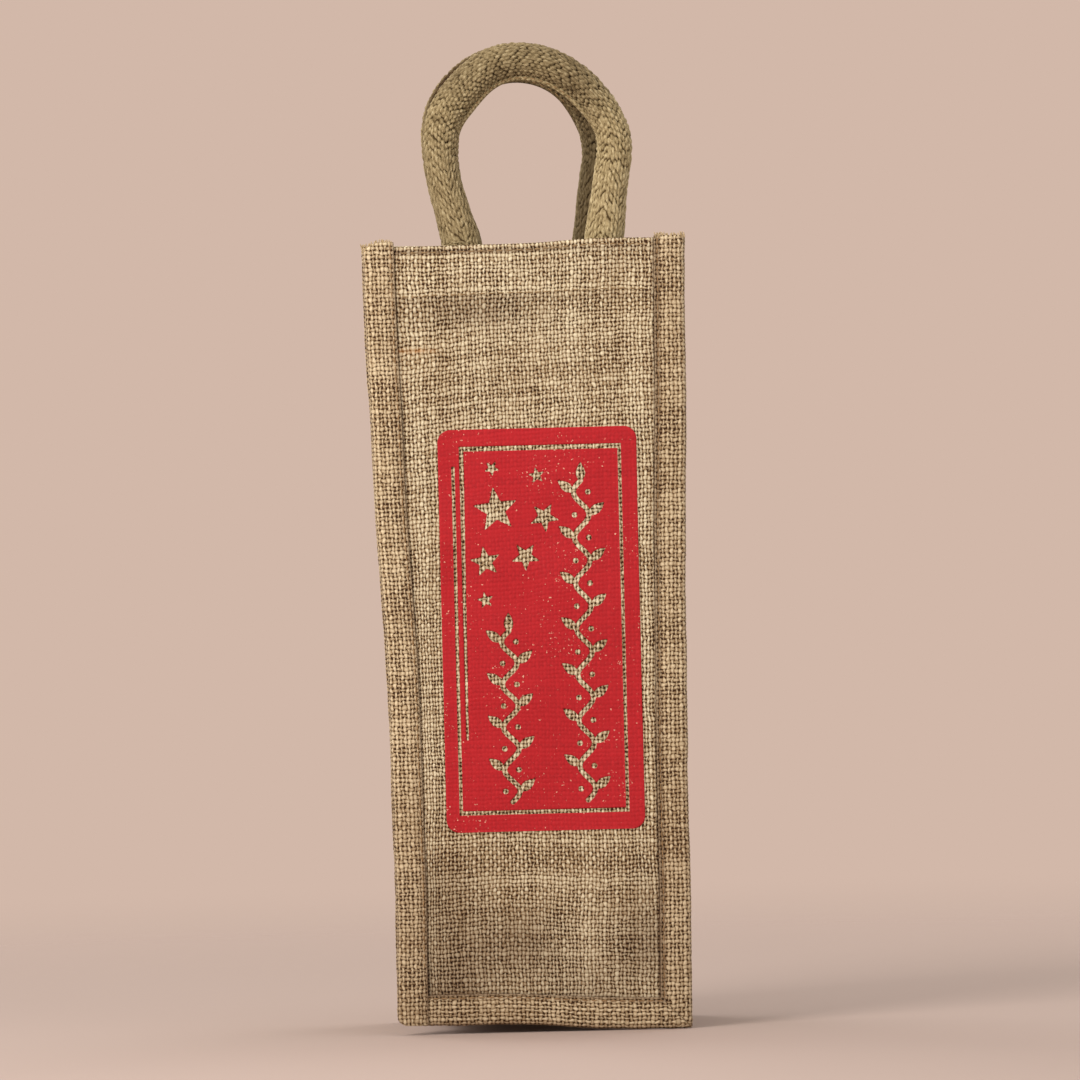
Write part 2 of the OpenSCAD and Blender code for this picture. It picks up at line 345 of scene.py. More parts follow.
def threads(name, place, rows, radius=STITCH):
    """Many short threads as one object, from rows of points, all of one length."""
    rows = place(np.asarray(rows))
    count, rings = rows.shape[:2]
    along = unit(np.gradient(rows, axis=1)).reshape(-1, 3)
    side = unit(np.cross(along, [0.31, 0.87, 0.38]))
    thick = radius * np.sin(np.linspace(0.12, np.pi - 0.12, rings)) ** 0.35
    wide = np.tile(thick, count)[:, None] + np.zeros(6)
    points = rows.reshape(-1, 1, 3) + round_path(side, np.cross(side, along), wide, wide)
    quads, caps = ring_faces(count, rings, 6)
    return mesh_object(name, points.reshape(-1, 3), quads, caps=caps)


def stitched(path, outward, length=3.4, gap=0.9, proud=0.3, sunk=0.35, rings=7):
    """The stitches of one seam: threads that rise out of the cloth and dive back in."""
    even, at = resample(path, 0.2)
    lift = np.sin(np.linspace(0, np.pi, rings)) ** 0.5 * (proud + sunk) - sunk
    made = []
    for start in np.arange(0, at[-1] - length, length + gap):
        s = np.linspace(start, start + length, rings)
        spine = stack(*(np.interp(s, at, column) for column in even.T))
        made.append(spine + lift[:, None] * outward)
    return made


# --- materials ---


class Graph:
    """The node tree of a material or world, with short calls for its nodes."""

    def __init__(self, owner):
        owner.use_nodes = True
        self.owner = owner
        self.tree = owner.node_tree

    def node(self, kind, inputs=(), out=0, **settings):
        """The output of a new node, whose inputs are numbers or other nodes' outputs."""
        made = self.tree.nodes.new(kind)
        for key, value in settings.items():
            setattr(made, key, value)
        for key, value in dict(inputs).items():
            self.put(made.inputs[key], value)
        return made.outputs[out]

    def put(self, socket, value):
        if isinstance(value, bpy.types.NodeSocket):
            self.tree.links.new(value, socket)
        else:
            socket.default_value = value

    def math(self, operation, *values):
        return self.node("ShaderNodeMath", enumerate(values), operation=operation)

    def add(self, a, b):
        return self.math("ADD", a, b)

    def times(self, a, b):
        return self.math("MULTIPLY", a, b)

    def scaled(self, value, by, plus):
        """value * by + plus."""
        return self.math("MULTIPLY_ADD", value, by, plus)

    def step(self, value, low, high, start=0.0, end=1.0):
        """A smooth step from start to end as value goes from low to high."""
        inputs = {"Value": value, "From Min": low, "From Max": high, "To Min": start, "To Max": end}
        return self.node("ShaderNodeMapRange", inputs, interpolation_type="SMOOTHSTEP")

    def mix(self, share, a, b, blend="MIX"):
        """Between two colours."""
        inputs = {0: share, 6: a, 7: b}
        return self.node("ShaderNodeMix", inputs, 2, data_type="RGBA", blend_type=blend)

    def blend(self, share, a, b):
        """Between two numbers."""
        return self.node("ShaderNodeMix", {0: share, 2: a, 3: b}, data_type="FLOAT")

    def vector(self, x, y, z=0.0):
        return self.node("ShaderNodeCombineXYZ", enumerate((x, y, z)))

    def noise(self, vector, scale, detail=2.0, rough=0.5):
        inputs = {"Vector": vector, "Scale": scale, "Detail": detail, "Roughness": rough}
        return self.node("ShaderNodeTexNoise", inputs)

    def random(self, value):
        return self.node("ShaderNodeTexWhiteNoise", {"W": value}, "Value", noise_dimensions="1D")

    def ramp(self, value, stops):
        made = self.node("ShaderNodeValToRGB", {"Fac": value})
        bar = made.node.color_ramp
        while len(bar.elements) < len(stops):
            bar.elements.new(0.5)
        for element, (at, colour) in zip(bar.elements, stops):
            element.position = at
            element.color = colour
        return made

    def position(self):
        return self.node("ShaderNodeNewGeometry", out="Position")

    def attribute(self, name):
        return self.node("ShaderNodeAttribute", out="Fac", attribute_name=name)

    def weave_uv(self):
        uv = self.node("ShaderNodeUVMap", uv_map="weave")
        return self.node("ShaderNodeSeparateXYZ", {0: uv}).node.outputs[:2]

    def shaded(self, colour, share, tint):
        """Painted shade: the colour multiplied by a dark tint, as far as share says."""
        return self.mix(share, colour, self.mix(1.0, colour, tint, "MULTIPLY"))

    def surface(self, colour, rough, specular, **inputs):
        """The finished material."""
        inputs |= {"Base Color": colour, "Roughness": rough, "Specular IOR Level": specular}
        for key, value in inputs.items():
            self.put(self.tree.nodes["Principled BSDF"].inputs[key], value)
        return self.owner

    def woven(self, colour, rough, height, distance, strength, specular=0.25):
        """The finished material, whose bumps are as high as distance."""
        inputs = {"Height": height, "Distance": distance, "Strength": strength}
        normal = self.node("ShaderNodeBump", inputs)
        return self.surface(colour, rough, specular, Normal=normal)


def new_graph(name):
    return Graph(bpy.data.materials.new(name))


def srgb(r, g, b):
    """A colour of 0 to 255 as Blender's linear numbers."""
    return (*(((c / 255 + 0.055) / 1.055) ** 2.4 for c in (r, g, b)), 1.0)


def plain_weave(g):
    """Nodes of a plain weave: its height from -1 to 1, each yarn's own tone, and its fibres."""
    u, v = g.weave_uv()
    where = g.vector(u, v)
    u = g.add(u, g.scaled(g.noise(where, 0.6), 1.1, -0.55))
    v = g.add(v, g.scaled(g.noise(g.vector(v, u, 7.7), 0.55), 1.1, -0.55))
    warp, weft = g.math("ROUND", u), g.math("ROUND", v)
    du, dv = g.math("SUBTRACT", u, warp), g.math("SUBTRACT", v, weft)
    even = g.math("FRACT", g.times(g.add(warp, weft), 0.5))
    over = g.scaled(even, -4.0, 1.0)
    heights, tones, fibres = [], [], []
    open_weave = g.scaled(g.noise(g.position(), 60.0, 3.0), -0.26, 0.13)
    for near, other, along, yarn, sign, seed in (
        (du, dv, v, warp, 1.0, 3.1),
        (dv, du, u, weft, -1.0, 57.7),
    ):
        tone = g.random(g.add(yarn, seed))
        slub = g.noise(g.vector(g.times(yarn, 7.3), g.times(along, 0.7), seed), 1.0)
        width = g.add(g.scaled(tone, 0.1, 0.03 - 0.03 * sign), g.times(slub, 0.48))
        width = g.add(width, open_weave)
        share = g.math("DIVIDE", near, width)
        above = g.math("MAXIMUM", g.math("SUBTRACT", 1.0, g.times(share, share)), 0.0)
        wave = g.times(g.times(g.math("COSINE", g.times(other, math.pi)), over), sign)
        lift = g.scaled(wave, 0.42, -0.1)
        gap = g.times(g.math("GREATER_THAN", g.math("ABSOLUTE", near), width), -2.0)
        heights.append(g.add(g.scaled(g.math("SQRT", above), 0.6, lift), gap))
        tones.append(g.scaled(slub, 0.6, g.scaled(tone, 0.45, 0.14 * sign - 0.05)))
        twist = g.vector(g.scaled(near, 6.0, g.times(along, 2.4)), along, yarn)
        fibres.append(g.noise(twist, 1.5, 3.0, 0.65))
    first = g.math("GREATER_THAN", heights[0], heights[1])
    height = g.math("MAXIMUM", g.math("MAXIMUM", *heights), -1.0)
    return height, g.blend(first, tones[1], tones[0]), g.blend(first, fibres[1], fibres[0])


def jute(name, dark, mid, light, hole, clouds=0.5):
    """Natural jute: tan yarns, with painted highlights on the crossings, painted shade in the
    holes, and slow changes of tone.
    """
    g = new_graph(name)
    height, tone, fibre = plain_weave(g)
    blotch = g.noise(g.position(), 14.0, 3.0, 0.55)
    slow = g.noise(g.position(), 45.0, 2.0)
    drift = g.scaled(blotch, clouds, g.times(slow, 0.3))
    value = g.add(g.times(tone, 0.4), g.times(fibre, 0.5))
    value = g.add(value, g.scaled(drift, 0.5, -0.4))
    # Painted highlight and shade: the higher the weave, the paler; the lower, the darker.
    value = g.add(value, g.scaled(height, 0.62, -0.06))
    colour = g.ramp(value, [(0.0, dark), (0.42, mid), (0.86, light)])
    # Painted shade: the holes between the yarns take the dark hole colour.
    colour = g.mix(g.step(height, -0.45, 0.25), hole, colour)
    # Painted shade from the shade attribute, in a dark brown tint.
    colour = g.shaded(colour, g.attribute("shade"), srgb(112, 82, 60))
    colour = g.mix(g.attribute("stain"), colour, srgb(176, 112, 48))
    bumps = g.add(height, g.times(fibre, 0.35))
    return g.woven(colour, g.blend(fibre, 0.95, 0.8), bumps, 0.00045, 0.9)


def printed():
    """Screen ink on jute: it fills most of the weave, and small specks of cloth show through."""
    g = new_graph("printed_ink")
    height, tone, fibre = plain_weave(g)
    reds = [(0.2, srgb(166, 20, 28)), (0.5, srgb(182, 23, 31)), (0.9, srgb(192, 34, 40))]
    red = g.ramp(g.scaled(fibre, 0.5, g.times(tone, 0.4)), reds)
    fleck = g.noise(g.position(), 800.0, 2.0, 0.6)
    patch = g.noise(g.position(), 38.0, 2.0)
    worn = g.step(g.scaled(patch, 0.34, fleck), 0.865, 0.91)
    colour = g.mix(worn, red, srgb(226, 168, 142))
    # Painted shade: the ink is darker in the weave's holes.
    colour = g.mix(g.step(height, -0.2, -0.9, 0.0, 0.1), colour, srgb(96, 20, 22))
    return g.woven(colour, 0.72, height, 0.00022, 0.3, specular=0.3)


def webbing(name, dark, mid, light):
    """Thick jute webbing: each float of yarn has a painted highlight, and painted shade darkens the
    gaps round it.
    """
    g = new_graph(name)
    proud = g.attribute("proud")
    u, v = g.weave_uv()
    strand = g.noise(g.vector(g.times(u, 2.7), g.times(v, 1.5)), 1.0, 4.0, 0.7)
    clump = g.noise(g.vector(u, v), 0.5, 1.0)
    value = g.add(g.times(strand, 1.7), g.scaled(clump, 0.35, -0.6))
    # Painted highlight: the prouder the yarn, the paler.
    value = g.add(value, g.scaled(proud, 0.45, -0.36))
    colour = g.ramp(value, [(0.05, dark), (0.45, mid), (0.95, light)])
    # Painted shade: the gaps round the floats take a dark brown.
    colour = g.mix(g.step(proud, 0.64, 0.2, 0.0, 0.85), colour, srgb(76, 56, 29))
    # Painted shade from the shade attribute, in a dark brown tint.
    colour = g.shaded(colour, g.attribute("shade"), srgb(108, 86, 58))
    return g.woven(colour, 0.9, strand, 0.0004, 0.7)


def spun(name, dark, light, scale=900.0):
    """Sewing thread or cord: fine fibres along a single tone."""
    g = new_graph(name)
    fibre = g.noise(g.position(), scale, 3.0, 0.6)
    colour = g.ramp(fibre, [(0.25, dark), (0.75, light)])
    return g.woven(colour, 0.85, fibre, 0.0001, 0.6)


BROWN = srgb(100, 67, 31)
# The last colour of each jute is the painted shade seen in its holes.
JUTE = jute("jute_cloth", BROWN, srgb(159, 131, 95), srgb(236, 220, 186), srgb(58, 33, 11))
TAPE = jute("jute_tape", BROWN, srgb(154, 126, 91), srgb(229, 207, 170), srgb(60, 35, 13), 0.6)
INK = printed()
WEBBING = webbing("handle_webbing", srgb(102, 83, 48), srgb(177, 156, 115), srgb(235, 218, 175))
THREAD = spun("sewing_thread", srgb(128, 96, 62), srgb(168, 134, 94))
HEM_THREAD = spun("hem_thread", srgb(128, 100, 66), srgb(170, 140, 100))
FRAY = spun("frayed_yarn", srgb(150, 122, 84), srgb(206, 182, 142))
FILLER = spun("filler_cord", srgb(186, 170, 138), srgb(226, 214, 188), 500.0)


def dress(piece, material, slot, body=None, *replaces):
    """Gives a piece its material and body, and says which CAD nodes it replaces; slot is not used.
    """
    piece.data.materials.append(material)
    if body:
        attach(piece, body)
    if replaces:
        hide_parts(*replaces)


# --- panels ---

PANEL_MIDDLE = PANEL_OUT - HALF_SOLID
HEM_MIDDLE = PANEL_IN + HALF_SOLID
PANEL_BOTTOM = 8.0
# How far the panel reaches into the binding, and how many warp yarns there are on each side
TAB = 10.0
WARPS = 40.5


def panel_section():
    """The panel's cut from its foot up to the mouth and down its hem: the distance along it, its
    height and its depth at each half yarn."""
    radius = (PANEL_MIDDLE - HEM_MIDDLE) / 2
    rise = MOUTH_Z - CLOTH / 2 - radius - PANEL_BOTTOM
    s = half_yarns(rise + math.pi * radius + HEM - radius, WEFT_PITCH)
    turn = np.clip((s - rise) / radius, 0, math.pi)
    down = np.maximum(s - rise - math.pi * radius, 0)
    z = PANEL_BOTTOM + np.minimum(s, rise) + radius * np.sin(turn) - down
    return s, z, PANEL_MIDDLE - radius * (1 - np.cos(turn))


def wandered(x, z, seed):
    """Where the yarns really lie: each strays a little from its place in a perfect weave."""
    hold = 1 - smooth(z, MOUTH_Z - 14, MOUTH_Z - 3)
    dx = 0.9 * ripple(x, z, 34, seed) + 0.35 * ripple(x, z, 9, seed + 1)
    dz = 1.6 * ripple(x, z, 46, seed + 2) + 0.35 * ripple(x, z, 8, seed + 3)
    skew = 0.045 * x * smooth(z, 150, 225) * (1 - smooth(z, MOUTH_Z - 45, MOUTH_Z - 15))
    top_wave = 0.9 * ripple(x, 0, 38, seed + 4) + 1.6 * smooth(x, 0, 56)
    return x + dx, z + dz * hold + skew + top_wave * smooth(z, MOUTH_Z - 60, MOUTH_Z)


def bulge(x, z, seed):
    """How far the cloth stands out in soft folds."""
    free = smooth(half_width(z) - np.abs(x), 0, 14) * smooth(z, FLANGE, FLANGE + 26)
    free = free * (1 - 0.75 * smooth(z, MOUTH_Z - 14, MOUTH_Z - 2))
    folds = 1.3 * ripple(x, z, 52, seed + 5)
    folds += 0.8 * ripple(x + 0.6 * z, z - 0.5 * x, 24, seed + 6)
    return folds * free + 0.45 * smooth(z, HEM_LINE - 1.5, HEM_LINE + 1)


def panel(name, place, seed, stain):
    """The whole panel as one cloth, with its hem turned in. Its painted shade is darkest along the
    seams, the hem's two rows of stitches, a patch below the hem, and the foot."""
    s, z, depth = panel_section()
    yarns = np.arange(-WARPS, WARPS + 0.5, 0.5)
    x0, z0 = np.meshgrid(yarns * WARP_PITCH, z)
    x, zz = wandered(x0, z0, seed)
    middle = stack(x, -(depth[:, None] + bulge(x0, z0, seed)), zz)
    to_seam = np.clip(half_width(zz) - np.abs(x), 0, None)
    # Painted shade: darker in the seam grooves, most on the right, along the foot seam, along the
    # hem's two rows of stitches, in a patch below the hem and towards the foot.
    shade = (0.4 + 0.45 * smooth(x, 20, 50)) * ridge(to_seam, 0, 0.8)
    shade += 0.4 * ridge(zz, FLANGE, 0.8)
    shade += 0.7 * ridge(zz, MOUTH_Z - 3, 0.9) * (0.35 + 0.65 * smooth(-x, -30, 10))
    shade += 0.16 * ridge(zz, HEM_LINE, 1.8) * (0.6 + 0.4 * ripple(x, zz, 16, seed + 8))
    shade += 0.4 * ridge(x, -22, 26) * ridge(zz, HEM_LINE - 6, 7)
    shade += 0.34 * smooth(-zz, -120, -20) * (1 + 0.7 * ripple(x, zz, 30, seed + 9))
    inside = (s > s[-1] - HEM)[:, None]
    # The hem's inner layer gets a little painted shade too.
    marks = {"shade": np.where(inside, 0.12, np.clip(shade, 0, 1)), "stain": 0 * x}
    if stain:
        row = ridge(zz, MOUTH_Z - 48, 0.9) * smooth(-x, 40, 43)
        marks["stain"] = 0.75 * row * (0.6 + 0.4 * ripple(x, zz, 3, 5))
    within = half_width(zz) + TAB > np.abs(x)
    keep = np.all(corners_of(within), axis=0)
    uv = stack(yarns, (s / WEFT_PITCH)[:, None])
    return joined(name, place, [cloth(middle, uv, marks, keep)])


def panel_skin(x, z, seed):
    """Weave coordinates and depth of the panel's outer face at points of the face."""
    x0, z0 = x.copy(), z.copy()
    for _ in range(4):
        there_x, there_z = wandered(x0, z0, seed)
        x0, z0 = x0 + x - there_x, z0 + z - there_z
    uv = stack(x0 / WARP_PITCH, (z0 - PANEL_BOTTOM) / WEFT_PITCH)
    return uv, PANEL_MIDDLE + CLOTH / 2 + bulge(x0, z0, seed)


# --- print ---

PRINT_X, _, PRINT_Z = (print_low + print_high) / 2
PRINT_W, _, PRINT_H = print_high - print_low
# Place, size and turn of each star; place, length and number of waves of each sprig
STARS = [
    (-21, 74, 3.7, 40), (-0.6, 70.3, 4, 8), (-19.6, 55, 10.6, 6), (2.5, 51.2, 7, 42),
    (-24.8, 31.4, 7.3, 9), (-6.5, 33.4, 6.8, 36), (-25.3, 13.9, 4, 10),
]
SPRIGS = [(-15, -39.5, 78, 4), (19.5, -5.5, 146, 7)]
SWAY, STEM, BERRY, LEAF = 3.5, 2.3, 1.3, np.array([9.0, 4.2])
INK_CELL = 0.45
INK_THICK = 0.09


def to_line(x, z, start, end):
    """Distance to a straight line between two points."""
    (ax, az), (bx, bz) = start, end
    ex, ez = bx - ax, bz - az
    t = np.clip(((x - ax) * ex + (z - az) * ez) / (ex * ex + ez * ez), 0, 1)
    return np.hypot(x - ax - t * ex, z - az - t * ez)


def to_polygon(x, z, corners):
    """Signed distance to a polygon, negative inside it."""
    near = np.full(x.shape, 1e9)
    inside = np.zeros(x.shape, bool)
    for (ax, az), (bx, bz) in zip(corners, np.roll(corners, -1, axis=0)):
        near = np.minimum(near, to_line(x, z, (ax, az), (bx, bz)))
        if az != bz:
            crosses = (az > z) != (bz > z)
            inside ^= crosses & (x < ax + (z - az) * (bx - ax) / (bz - az))
    return np.where(inside, -near, near)


def to_box(x, z, width, height, corner):
    """Signed distance to a box with round corners."""
    dx, dz = np.abs(x) - width / 2 + corner, np.abs(z) - height / 2 + corner
    outside = np.hypot(np.maximum(dx, 0), np.maximum(dz, 0))
    return outside + np.minimum(np.maximum(dx, dz), 0) - corner


def to_sprig(x, z, length, waves):
    """Signed distance to a wavy sprig with a leaf outside each bend, a berry inside it and a leaf
    at its tip."""
    steps = waves * 12
    at = np.arange(steps + 1)
    stem = stack(SWAY * np.sin(at * np.pi / 6), (at / steps - 0.5) * length)
    near = [to_line(x, z, start, end) - STEM / 2 for start, end in zip(stem, stem[1:])]
    k = np.arange(16)
    t = np.where(k < 8, k / 8, 2 - k / 8)
    leaf = LEAF * stack(t, np.where(k < 8, 1, -1) * 2 * t * (1 - t) * (1.3 - 0.6 * t))
    leaves = [(0, length / 2 - 0.5, 90)]
    for i in range(2 * waves):
        side = 1 if i % 2 == 0 else -1
        mid = ((i + 0.5) / (2 * waves) - 0.5) * length
        near.append(np.hypot(x + side * SWAY * 0.9, z - mid) - BERRY)
        leaves.append((side * SWAY, mid, 90 - side * 52))
    for leaf_x, leaf_z, degrees in leaves:
        c, d = math.cos(math.radians(degrees)), math.sin(math.radians(degrees))
        turned = leaf @ np.array([[c, d], [-d, c]]) + [leaf_x, leaf_z]
        near.append(to_polygon(x, z, turned))
    return np.min(near, axis=0)


def frame_lines():
    """Corners of each strip of the print's bare frame line, which is double on the left."""
    right, high = PRINT_W / 2 - 7.3, PRINT_H / 2 - 7.8
    outer, inner = 6 - PRINT_W / 2, 9.7 - PRINT_W / 2
    fades = high - 134
    boxes = [
        (inner, high - 2.2, right, high),
        (right - 1.6, -high, right, high),
        (outer, -high, right, 1.9 - high),
        (outer, -high, outer + 1.6, high - 9),
    ]
    thin = [(inner, high), (inner + 2.1, high), (inner + 1.4, fades), (inner + 0.3, fades)]
    return [[(a, b), (c, b), (c, d), (a, d)] for a, b, c, d in boxes] + [thin]


def to_ink(x, z):
    """Signed distance to the ink's edge, negative where there is ink."""
    bare = [to_polygon(x, z, corners) for corners in frame_lines()]
    for sx, sz, radius, degrees in STARS:
        turn = np.arange(10) * np.pi / 5 - math.radians(degrees)
        reach = np.where(np.arange(10) % 2 == 0, radius, radius * 0.42)
        star = stack(sx + reach * np.sin(turn), sz + reach * np.cos(turn))
        bare.append(to_polygon(x, z, star))
    for sx, sz, length, waves in SPRIGS:
        bare.append(to_sprig(x - sx, z - sz, length, waves))
    return np.maximum(to_box(x, z, PRINT_W, PRINT_H, 6), -np.min(bare, axis=0))


def ink_layer(name, place, seed):
    """The printed ink as a thin skin on the panel, with its edge points pulled onto its outline."""
    across = np.arange(-PRINT_W / 2 - 1, PRINT_W / 2 + 1, INK_CELL)
    upward = np.arange(-PRINT_H / 2 - 1, PRINT_H / 2 + 1, INK_CELL)
    x, z = np.meshgrid(across, upward)
    keep = to_ink(*np.meshgrid(across[:-1] + INK_CELL / 2, upward[:-1] + INK_CELL / 2)) < 0
    edge = to_ink(x, z)
    slope_z, slope_x = np.gradient(edge, INK_CELL)
    steep = np.maximum(np.hypot(slope_x, slope_z), 0.5)
    pull = np.where(np.abs(edge) < INK_CELL * 0.8, edge, 0) / steep
    x, z = x - pull * slope_x / steep + PRINT_X, z - pull * slope_z / steep + PRINT_Z
    uv, depth = panel_skin(x, z, seed)
    lift = np.maximum(relief(uv), 0.15 * RELIEF) + 0.16
    front = stack(x, -(depth + lift), z)
    return joined(name, place, [solid_grid(front, front + INK_THICK * ALONG_Y, uv, keep=keep)])


# --- binding ---

LEAF_FRONT = TAPE_OUT - HALF_SOLID
LEAF_BACK = TAPE_IN + HALF_SOLID
FOLD = (LEAF_FRONT - LEAF_BACK) / 2


def tape_section():
    """The folded tape's cut at each half yarn: the distance along it, out from the seam, and the
    depth."""
    flat = FLANGE - CLOTH / 2 - FOLD
    t = half_yarns(flat + math.pi * FOLD + flat - 1.5, TAPE_PITCH)
    turn = np.clip((t - flat) / FOLD, 0, math.pi)
    out = np.minimum(t, flat) + FOLD * np.sin(turn) - np.maximum(t - flat - math.pi * FOLD, 0)
    return t, out, LEAF_FRONT - FOLD * (1 - np.cos(turn))


def tape_strip(run, length, seed, trim, lift):
    """One straight run of tape. run turns (along, out, depth) into points; trim gives how much
    longer it is at each distance out, at its start and at its end; lift holds its end out over
    the strip below it."""
    t, out, depth = tape_section()
    aa = half_yarns(length, WEFT_PITCH)[:, None]
    oo, dd = out + 0 * aa, depth + 0 * aa
    early, late = trim(oo)
    along = aa - early * (1 - smooth(aa, 0, 24)) + late * smooth(aa, length - 24, length)
    wave = 0.45 * ripple(along, 0, 33, seed) + 0.2 * ripple(along, 0, 9, seed + 1)
    front = smooth(dd, LEAF_BACK, LEAF_FRONT) * 2 - 1
    groove = -0.5 * ridge(oo, SEAM_INSET, 0.9) * front
    puff = 0.35 * smooth(oo, 1.5, 6) * (1 - smooth(oo, 9, 13)) * front
    strays = 0.25 * ripple(along, oo, 14, seed + 2)
    raised = lift * smooth(aa, length - 26, length - 10) * smooth(front, -1, 1)
    out_now = oo + wave * smooth(oo, 1, 13)
    points = run(along, out_now, dd + groove + puff + strays + raised)
    x, _, z = np.moveaxis(points, -1, 0)
    right = smooth(x, 40, 60)
    # Painted shade: darker along the seam's edge and groove, most on the right, a little over the
    # whole right run, along the folded edge, and towards the foot, most on the left.
    shade = 0.5 * ridge(oo, 0, 0.5) + (0.2 + 0.5 * right) * ridge(oo, SEAM_INSET, 0.7)
    shade += 0.05 * right + 0.1 * ridge(oo, FLANGE, 1.5)
    shade += 0.14 * smooth(-z, -150, -10) * (1 + 0.8 * smooth(-x, 0, 50))
    uv = stack(t / TAPE_PITCH, along / WEFT_PITCH)
    return cloth(points, uv, {"shade": np.clip(shade, 0, 1), "stain": 0 * shade})


def top_sag(side, out):
    """How far the tape's cut top end is below its CAD height."""
    return 1.2 + 3.2 * smooth(out, 7, 14) if side < 0 else 0.9


def tape_runs():
    """The left, bottom and right runs of one panel's binding: how each lies, its length, its end
    trims and how far its end is lifted."""
    rise = TAPE_TOP - FLANGE
    corner = 4.5

    def left(along, out, depth):
        z = TAPE_TOP - along
        return stack(-half_width(z) - out, -depth, z)

    def bottom(along, out, depth):
        return stack(along - HALF_BASE, -depth, FLANGE - out)

    def right(along, out, depth):
        z = FLANGE + along
        return stack(half_width(z) + out, -depth, z)

    def left_trim(out):
        near_edge = np.clip(out - (FLANGE - corner), 0, corner)
        rounded = np.sqrt(corner**2 - near_edge**2)
        return -top_sag(-1, out), FLANGE - CLOTH / 2 - corner + rounded

    return [
        (left, rise, left_trim, 0.9),
        (bottom, 2 * HALF_BASE, lambda out: (6, out), 0.0),
        (right, rise, lambda out: (out, -top_sag(1, out)), 0.0),
    ]


def binding(name, place, seed):
    """The folded tape's three runs."""
    runs = enumerate(tape_runs())
    parts = [tape_strip(run, length, seed + 10 * k, *ends) for k, (run, length, *ends) in runs]
    return joined(name, place, parts)


def binding_stitches(name, place):
    """The stitches that hold the tape along its three seams, front and back."""
    z = np.linspace(TAPE_TOP - 2, FLANGE - SEAM_INSET, 60)
    reach = half_width(FLANGE) + SEAM_INSET
    x = np.linspace(-reach, reach, 20)
    rows = []
    for depth, outward in ((TAPE_OUT - 0.55, -ALONG_Y), (TAPE_IN + 0.55, ALONG_Y)):
        side = stack(-half_width(z) - SEAM_INSET, -depth, z)
        foot = stack(x, -depth, FLANGE - SEAM_INSET)
        for path in (side, foot, side * [-1, 1, 1]):
            rows += stitched(path, outward, proud=0.25)
    return threads(name, place, rows, 0.3)


def frayed_ends(name, place, seed):
    """Short cut yarns that stand up out of the tape's two top ends."""
    rng = np.random.default_rng(seed)
    rows = []
    for side in (-1, 1):
        for depth in (LEAF_FRONT, LEAF_BACK):
            for out in np.arange(1.0, FLANGE, TAPE_PITCH / 2):
                tall = rng.uniform(0.4, 1.8)
                lean = rng.normal(0, 0.35, 2) * tall
                t = np.linspace(0, 1, 6)
                x = side * (half_width(TAPE_TOP) + out) + lean[0] * t**1.6
                y = -depth + lean[1] * t**1.4
                base = TAPE_TOP - 1.4 - top_sag(side, out)
                rows.append(stack(x, y, base + (tall + 1.4) * t))
    return threads(name, place, rows, 0.3)


# --- gusset and hems ---


def gusset_path():
    """The strip's run from the left hem down, along the base and up the right side: its x and z,
    the direction into the bag, and the distance along it, at each half yarn."""
    hem_inset = HALF_SOLID + 1.5
    radius = 3.0
    low = FLANGE - HALF_SOLID

    def wall(z, inset):
        return -half_width(z) - HALF_SOLID + inset

    z = np.linspace(HEM_LINE, MOUTH_Z - 1.2, 30)
    hem = stack(wall(z, hem_inset), z, 1, 0)
    turn = np.linspace(0, math.pi, 9)[1:]
    across = wall(MOUTH_Z, hem_inset / 2 + hem_inset / 2 * np.cos(turn))
    fold = stack(across, MOUTH_Z - 1.15 + 0.75 * np.sin(turn), 1, 0)
    z = np.linspace(MOUTH_Z - 1.2, low + radius, 90)[1:]
    down = stack(wall(z, 0), z, 1, 0)
    turn = np.linspace(0, math.pi / 2, 8)[1:]
    cos, sin = np.cos(turn), np.sin(turn)
    foot = stack(wall(low, 0) + radius * (1 - cos), low + radius * (1 - sin), cos, sin)
    left = np.concatenate([hem, fold, down, foot])
    right = (left * [-1, 1, -1, 1])[::-1]
    path, at = resample(np.concatenate([left, right]), WEFT_PITCH / 2)
    return path[:, :2], unit(path[:, 2:]), at


